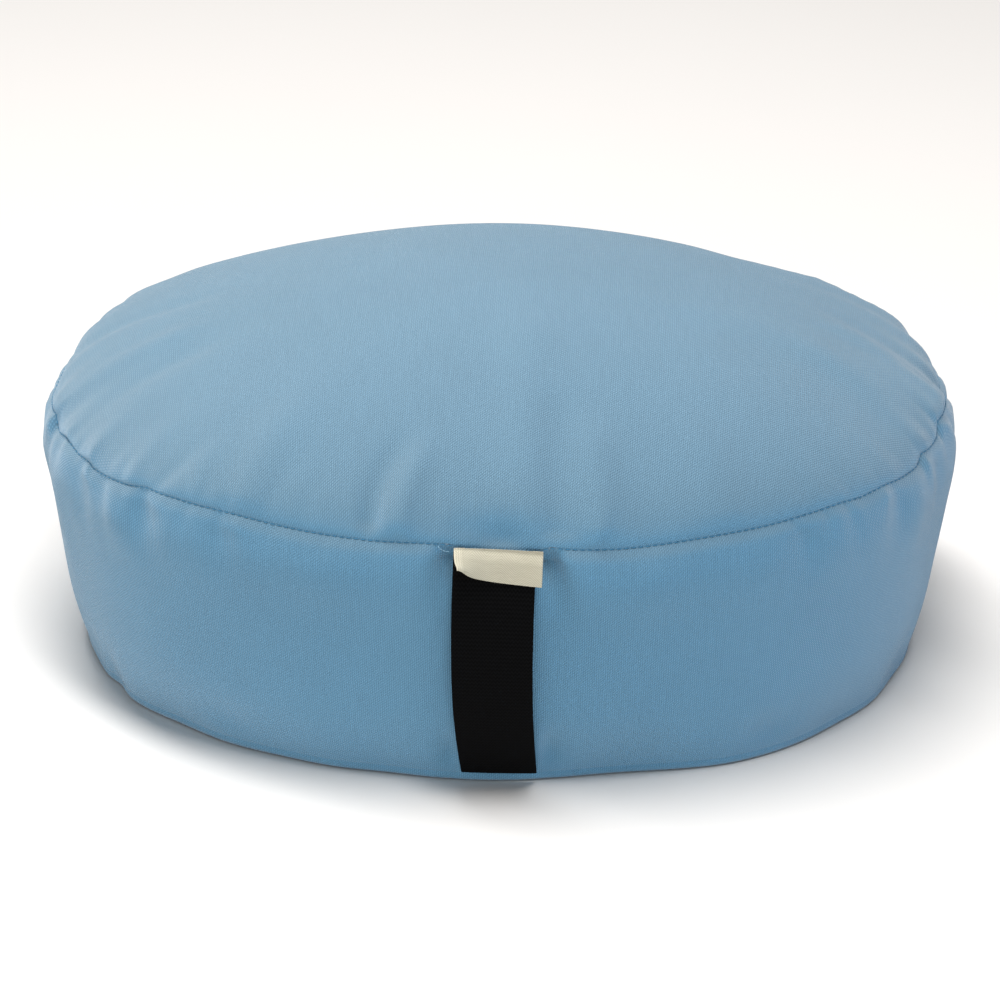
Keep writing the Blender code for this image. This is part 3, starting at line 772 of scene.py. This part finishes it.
def build_label():
    path = label_path()
    tangent = np.gradient(path, axis=0)
    tangent /= np.linalg.norm(tangent, axis=1, keepdims=True)
    side = np.stack([-tangent[:, 1], tangent[:, 0]], axis=1)
    run, down = np.meshgrid(run_along(path), np.linspace(0.0, 1.0, LABEL_ROWS))
    layers = []
    for way in (0.5, -0.5):
        shifted = path + side * LABEL_TAPE * way
        layers.append(label_point(shifted[:, 0] / LABEL_WIDTH, down, shifted[:, 1]))
    uv = np.stack([run, -down * LABEL_HEIGHT], axis=-1)
    mesh = ribbon_mesh("tape_label", layers[0], layers[1], uv, tape_material())
    label = add_piece("tape_label", mesh)
    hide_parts("label")
    return label


# ---- stitches
def thread_points(start, end, sideways, radius):
    """A short thread as rings of points: thin at both ends, full in the middle."""
    axis = end - start
    other = np.cross(axis, sideways)
    other /= np.linalg.norm(other)
    sideways = np.cross(other, axis)
    sideways /= np.linalg.norm(sideways)
    points = []
    for i in range(THREAD_RINGS):
        share = i / (THREAD_RINGS - 1)
        full = math.sqrt(max(0.0, 1.0 - (2.0 * share - 1.0) ** 4))
        thick = radius * full + radius * THREAD_TIP
        for j in range(THREAD_SIDES):
            turn = math.tau * j / THREAD_SIDES
            points.append(start + axis * share
                          + (sideways * math.cos(turn) + other * math.sin(turn)) * thick)
    return points


def thread_faces(first):
    faces = []
    for i in range(THREAD_RINGS - 1):
        a = first + i * THREAD_SIDES
        b = a + THREAD_SIDES
        for j in range(THREAD_SIDES):
            k = (j + 1) % THREAD_SIDES
            faces.append((a + j, a + k, b + k, b + j))
    faces.append(tuple(first + j for j in reversed(range(THREAD_SIDES))))
    faces.append(tuple(b + j for j in range(THREAD_SIDES)))
    return faces


def add_threads(name, threads, radius, material):
    """A piece of short threads, each given as its start, its end and a sideways direction."""
    points = []
    faces = []
    for start, end, sideways in threads:
        faces += thread_faces(len(points))
        points += thread_points(start, end, sideways, radius)
    mesh = new_mesh(name, [tuple(point) for point in points], faces, material)
    return add_piece(name, mesh)


def build_stitches():
    """Threads that show in the top seam, one every STITCH_PITCH."""
    fine = np.linspace(0.0, math.tau, SEAM_SAMPLES, endpoint=False)
    line = band_point(fine, 1.0) + seam_shift(fine, 0.0)
    run = run_around(line)
    turns = np.append(fine, math.tau)
    length = run[-1]
    count = round(length / STITCH_PITCH)
    threads = []
    for i in range(count):
        if covered(np.interp((i + 0.5) * length / count, run, turns)) > 0.5:
            continue
        ends = []
        for place in (i * length / count, i * length / count + STITCH_LENGTH):
            angle = np.array([np.interp(place % length, run, turns)])
            nx, ny = outward(angle)
            spot = (band_point(angle, 1.0) + seam_shift(angle, 0.0))[0]
            ends.append(spot - np.array([nx[0], ny[0], STITCH_DROP]) * STITCH_SINK)
        threads.append((ends[0], ends[1], np.array([nx[0], ny[0], 0.0])))
    material = thread_material("seam_thread", THREAD_COLOUR)
    return add_threads("seam_stitches", threads, STITCH_RADIUS, material)


def build_loose_thread():
    """The short end of thread that has come out of the seam beside the label."""
    places = []
    for degrees, under, off in LOOSE_THREAD:
        angle = np.array([math.radians(degrees)])
        share = 1.0 - under * MM / BAND_HEIGHT
        places.append(band_point(angle, share, off * MM)[0])
    front = np.array([0.0, -1.0, 0.0])
    threads = [(start, end, front) for start, end in zip(places[:-1], places[1:])]
    material = thread_material("loose_thread", LOOSE_THREAD_COLOUR)
    return add_threads("loose_thread", threads, LOOSE_THREAD_RADIUS, material)


# ---- materials
CLOTH_COLOUR = (0.092, 0.228, 0.352)
PAINTED_SHEEN_COLOUR = (0.104, 0.197, 0.272)  # painted sheen: greyer where the cloth faces up, standing in for the light's haze on the top
PAINTED_SHEEN_FROM = 0.15  # upward part of the cloth's direction where the painted sheen starts
PAINTED_SHEEN_TO = 0.80
THREAD_COLOUR = (0.055, 0.180, 0.300)
LOOSE_THREAD_COLOUR = (0.23, 0.38, 0.49)
WEBBING_COLOUR = (0.0012, 0.0012, 0.0013)
TAPE_COLOUR = (0.41, 0.38, 0.29)


class Shader:
    """A node material under construction, with short calls for the nodes it needs."""

    def __init__(self, name):
        self.material = bpy.data.materials.new(name)
        self.material.use_nodes = True
        self.nodes = self.material.node_tree.nodes
        self.links = self.material.node_tree.links
        self.surface = self.nodes["Principled BSDF"]

    def plug(self, value, socket):
        """Set a socket to a number, or link another node's output to it."""
        if isinstance(value, bpy.types.NodeSocket):
            self.links.new(value, socket)
        else:
            socket.default_value = value

    def node(self, kind, *values, **settings):
        """A new node with its own settings, and values for its sockets from the first on."""
        made = self.nodes.new(kind)
        for name, value in settings.items():
            setattr(made, name, value)
        for value, socket in zip(values, made.inputs):
            self.plug(value, socket)
        return made

    def math(self, operation, *values):
        return self.node("ShaderNodeMath", *values, operation=operation).outputs[0]

    def parts(self, vector):
        """The x, y and z of a vector."""
        return tuple(self.node("ShaderNodeSeparateXYZ", vector).outputs)

    def uv(self, name):
        """The two coordinates of a UV map."""
        return self.parts(self.node("ShaderNodeUVMap", uv_map=name).outputs[0])[:2]

    def point(self, x, y):
        return self.node("ShaderNodeCombineXYZ", x, y).outputs[0]

    def noise(self, place, scale, detail=2.0):
        made = self.node("ShaderNodeTexNoise")
        self.plug(place, made.inputs["Vector"])
        made.inputs["Scale"].default_value = scale
        made.inputs["Detail"].default_value = detail
        return made.outputs["Fac"]

    def wave(self, phase):
        """0 to 1 and back, once for each whole step of phase."""
        turn = self.math("MULTIPLY", phase, math.tau)
        return self.math("MULTIPLY_ADD", self.math("COSINE", turn), 0.5, 0.5)

    def mix(self, share, dark, light):
        made = self.node("ShaderNodeMix", data_type="RGBA")
        self.plug(share, made.inputs["Factor"])
        self.plug(dark, made.inputs["A"])
        self.plug(light, made.inputs["B"])
        return made.outputs["Result"]

    def weigh(self, *terms):
        """The sum of sockets, each times its weight."""
        total = 0.0
        for value, weight in terms:
            total = self.math("MULTIPLY_ADD", value, weight, total)
        return total

    def streaks(self, u, v, pace, scale, detail):
        """Noise that changes pace times as fast along u as along v."""
        return self.noise(self.point(self.math("MULTIPLY", u, pace), v), scale, detail)

    def bump(self, height, distance, strength=1.0, under=None):
        made = self.node("ShaderNodeBump")
        made.inputs["Strength"].default_value = strength
        made.inputs["Distance"].default_value = distance
        self.plug(height, made.inputs["Height"])
        if under is not None:
            self.plug(under, made.inputs["Normal"])
        return made.outputs["Normal"]

    def finish(self, **sockets):
        """Set or link the surface's sockets, whose names have _ for a space."""
        for name, value in sockets.items():
            self.plug(value, self.surface.inputs[name.replace("_", " ")])
        return self.material


def shade(colour, factor):
    """A colour made lighter or darker, as a shader wants it."""
    return (colour[0] * factor, colour[1] * factor, colour[2] * factor, 1.0)


def cloth_material():
    """Cotton twill: ribs along the cloth's height, with floats that step up to the right."""
    cloth = Shader("cotton_twill")
    u, v = cloth.uv("weave")
    place = cloth.point(u, v)
    drift = cloth.noise(place, 70.0)
    ribs = cloth.math("DIVIDE", u, RIB_PITCH)
    rib = cloth.wave(cloth.math("MULTIPLY_ADD", drift, 1.2, ribs))
    diagonals = cloth.weigh((u, -math.sin(TWILL_SLOPE) / TWILL_PITCH),
                            (v, math.cos(TWILL_SLOPE) / TWILL_PITCH), (drift, 0.9))
    twill = cloth.math("POWER", cloth.wave(diagonals), 0.8)
    dots = cloth.math("MULTIPLY", rib, twill)
    weave = cloth.weigh((rib, 0.30), (dots, 0.45), (twill, 0.25))
    yarns = cloth.wave(cloth.math("DIVIDE", v, HAIR_PITCH))

    slub = cloth.streaks(u, v, 30.0, 40.0, 3.0)
    speckle = cloth.noise(place, 900.0)
    patches = cloth.noise(place, 14.0, 3.0)
    tone = cloth.weigh((slub, 0.22), (weave, 0.56), (patches, 0.18), (speckle, 0.18))

    # Painted sheen: cloth that faces up is mixed towards a greyer colour, standing in for the haze that
    # the light lays on the top.
    facing = cloth.parts(cloth.node("ShaderNodeNewGeometry").outputs["Normal"])
    painted_sheen_mask = cloth.node("ShaderNodeMapRange", facing[2], PAINTED_SHEEN_FROM, PAINTED_SHEEN_TO,
                      interpolation_type="SMOOTHSTEP").outputs["Result"]
    dark = cloth.mix(painted_sheen_mask, shade(CLOTH_COLOUR, 0.60), shade(PAINTED_SHEEN_COLOUR, 0.60))
    light = cloth.mix(painted_sheen_mask, shade(CLOTH_COLOUR, 1.40), shade(PAINTED_SHEEN_COLOUR, 1.40))
    rough = cloth.bump(patches, 0.0010, 0.42)
    relief = cloth.math("MULTIPLY_ADD", yarns, 0.15, weave)
    return cloth.finish(
        Base_Color=cloth.mix(tone, dark, light),
        Roughness=cloth.math("MULTIPLY_ADD", weave, -0.10, 0.94),
        Specular_IOR_Level=0.33,
        Sheen_Weight=0.38,
        Sheen_Roughness=0.45,
        Sheen_Tint=(1.0, 1.0, 1.0, 1.0),
        Normal=cloth.bump(relief, CLOTH_RELIEF, 1.0, rough),
    )


def webbing_material():
    """Black webbing: dull yarns, with a painted highlight on top of each float and painted shade in its
    grooves.
    """
    webbing = Shader("black_webbing")
    u, v = webbing.uv("weave")
    yarn = webbing.wave(webbing.math("DIVIDE", u, WEBBING_YARN))
    twist = webbing.streaks(u, v, 6.0, 900.0, 2.0)
    fuzz = webbing.noise(webbing.point(u, v), 260.0, 3.0)
    middle = webbing.math("PINGPONG", webbing.math("DIVIDE", u, WEBBING_COLUMN), 0.5)
    slanted = webbing.math("DIVIDE", v, -WEBBING_FLOAT)
    groove = webbing.wave(webbing.math("MULTIPLY_ADD", middle, WEBBING_SLANT, slanted))
    raised = webbing.math("SUBTRACT", 1.0, groove)
    # The raised float tops go into the colour as a painted highlight, and the grooves between them as
    # painted shade.
    tone = webbing.weigh((fuzz, 0.25), (twist, 0.20), (raised, 0.55))
    height = webbing.weigh((twist, 0.5), (yarn, 0.5))
    return webbing.finish(
        Base_Color=webbing.mix(tone, shade(WEBBING_COLOUR, 0.0), shade(WEBBING_COLOUR, 4.8)),
        Roughness=webbing.math("MULTIPLY_ADD", fuzz, 0.2, 0.70),
        Specular_IOR_Level=0.024,
        Normal=webbing.bump(height, 0.00012, 0.7),
    )


def thread_material(name, colour):
    thread = Shader(name)
    place = thread.node("ShaderNodeTexCoord").outputs["Object"]
    twist = thread.noise(place, 2200.0, 1.0)
    return thread.finish(
        Base_Color=thread.mix(twist, shade(colour, 0.7), shade(colour, 1.3)),
        Roughness=0.8,
        Specular_IOR_Level=0.05,
        Normal=thread.bump(twist, 0.0001, 0.6),
    )


def tape_material():
    """Unbleached cotton tape in herringbone weave, with raised yarns beside its left fold, also painted
    lighter as a highlight.
    """
    tape = Shader("cotton_tape")
    u, v = tape.uv("weave")
    zigzag = tape.math("PINGPONG", u, TAPE_CHEVRON)
    slanted = tape.math("MULTIPLY_ADD", zigzag, TAPE_SLOPE, v)
    twill = tape.wave(tape.math("DIVIDE", slanted, TAPE_PITCH))
    yarn = tape.wave(tape.math("DIVIDE", v, TAPE_YARN))
    slub = tape.streaks(u, v, 0.12, 1400.0, 2.0)
    stain = tape.noise(tape.point(u, v), 60.0, 3.0)
    from_fold = tape.math("SUBTRACT", u, LABEL_TURN_IN + math.pi * LABEL_FOLD_RADIUS)
    beside_fold = tape.math("LESS_THAN", from_fold, FOLD_LINES * FOLD_LINE_PITCH)
    line = tape.wave(tape.math("DIVIDE", from_fold, FOLD_LINE_PITCH))
    line = tape.math("MULTIPLY", beside_fold, line)
    # The yarns beside the fold also go into the colour as a painted highlight.
    tone = tape.weigh((slub, 0.30), (twill, 0.45), (stain, 0.25), (line, 0.45))
    height = tape.weigh((yarn, 0.4), (twill, 0.6), (line, 1.2))
    return tape.finish(
        Base_Color=tape.mix(tone, shade(TAPE_COLOUR, 0.66), shade(TAPE_COLOUR, 1.30)),
        Roughness=0.85,
        Specular_IOR_Level=0.3,
        Sheen_Weight=0.15,
        Normal=tape.bump(height, 0.00014, 0.7),
    )


# ---- camera, light and floor
WORLD_LIGHT = 0.27
SOFTBOXES = [
    # name, place, width, height, power in watts, colour, whether it lights the floor too
    ("overhead", (-0.12, -0.14, 2.4), 2.00, 0.44, 64.0, (1.0, 1.0, 1.0), True),
    ("overhead_back_left", (-0.7, 0.9, 1.6), 1.0, 1.0, 23.5, (1.0, 0.96, 0.93), False),
    ("front_fill", (0.2, -2.6, 0.4), 1.8, 0.6, 3.0, (0.96, 0.99, 1.0), True),
    ("front_fill_pieces", (0.2, -2.6, 0.4), 1.8, 0.6, 23.0, (0.96, 0.99, 1.0), False),
    ("left_fill", (-2.2, -0.6, 0.8), 1.0, 0.8, 17.5, (1.0, 0.985, 0.97), False),
    ("right_fill", (2.2, -0.6, 0.8), 1.0, 0.8, 8.0, (0.20, 0.56, 1.0), False),
]
LIGHT_TARGET = Vector((0.0, 0.0, 0.1))
FLOOR_HALF = 6.0
FLOOR_LOW = -0.0003  # just under the cushion's underside
FLOOR_DARK = (0.92, 0.887, 0.854, 1.0)
FLOOR_LIGHT = (0.94, 0.907, 0.874, 1.0)


def build_camera():
    ca, sa = math.cos(CAMERA_AZIMUTH), math.sin(CAMERA_AZIMUTH)
    ce, se = math.cos(CAMERA_ELEVATION), math.sin(CAMERA_ELEVATION)
    right = Vector((ca, sa, 0.0))
    back = Vector((sa * ce, -ca * ce, se))
    up = back.cross(right)
    lens = bpy.data.cameras.new("camera")
    lens.sensor_width = 36.0
    lens.lens = CAMERA_LENS
    camera = add_object("camera", lens)
    camera.location = CAMERA_TARGET + back * CAMERA_DISTANCE
    aim = CAMERA_TARGET + up * CAMERA_AIM_UP + right * CAMERA_AIM_RIGHT
    camera.rotation_euler = (aim - camera.location).to_track_quat("-Z", "Y").to_euler()
    bpy.context.scene.camera = camera


def add_softbox(name, place, width, height, power, colour, only_on=None):
    """A rectangular area light that looks at the cushion, and may be kept off the floor."""
    light = bpy.data.lights.new(name, "AREA")
    light.shape = "RECTANGLE"
    light.size = width
    light.size_y = height
    light.energy = power
    light.color = colour
    lamp = add_object(name, light)
    lamp.location = place
    lamp.rotation_euler = (LIGHT_TARGET - lamp.location).to_track_quat("-Z", "Y").to_euler()
    lamp.visible_camera = False
    lamp.light_linking.receiver_collection = only_on


def build_light(pieces):
    scene = bpy.context.scene
    scene.view_settings.view_transform = "Standard"
    world = bpy.data.worlds.new("studio")
    world.use_nodes = True
    sky = world.node_tree.nodes["Background"]
    sky.inputs["Color"].default_value = (1.0, 1.0, 1.0, 1.0)
    sky.inputs["Strength"].default_value = WORLD_LIGHT
    scene.world = world
    lit = bpy.data.collections.new("lit_pieces")
    for piece in pieces:
        lit.objects.link(piece)
    for name, place, width, height, power, colour, on_floor in SOFTBOXES:
        add_softbox(name, place, width, height, power, colour, None if on_floor else lit)


def build_floor():
    paint = Shader("studio_floor")
    place = paint.node("ShaderNodeTexCoord").outputs["Object"]
    colour = paint.mix(paint.noise(place, 3.0, 4.0), FLOOR_DARK, FLOOR_LIGHT)
    material = paint.finish(Base_Color=colour, Roughness=0.9, Specular_IOR_Level=0.1)
    signs = ((-1, -1), (1, -1), (1, 1), (-1, 1))
    corners = [(x * FLOOR_HALF, y * FLOOR_HALF, FLOOR_LOW) for x, y in signs]
    add_object("floor", new_mesh("floor", corners, [(0, 1, 2, 3)], material))


build_camera()
build_floor()
pieces = [build_cover(), build_stitches(), build_loose_thread(), build_strap(), build_label()]
build_light(pieces)
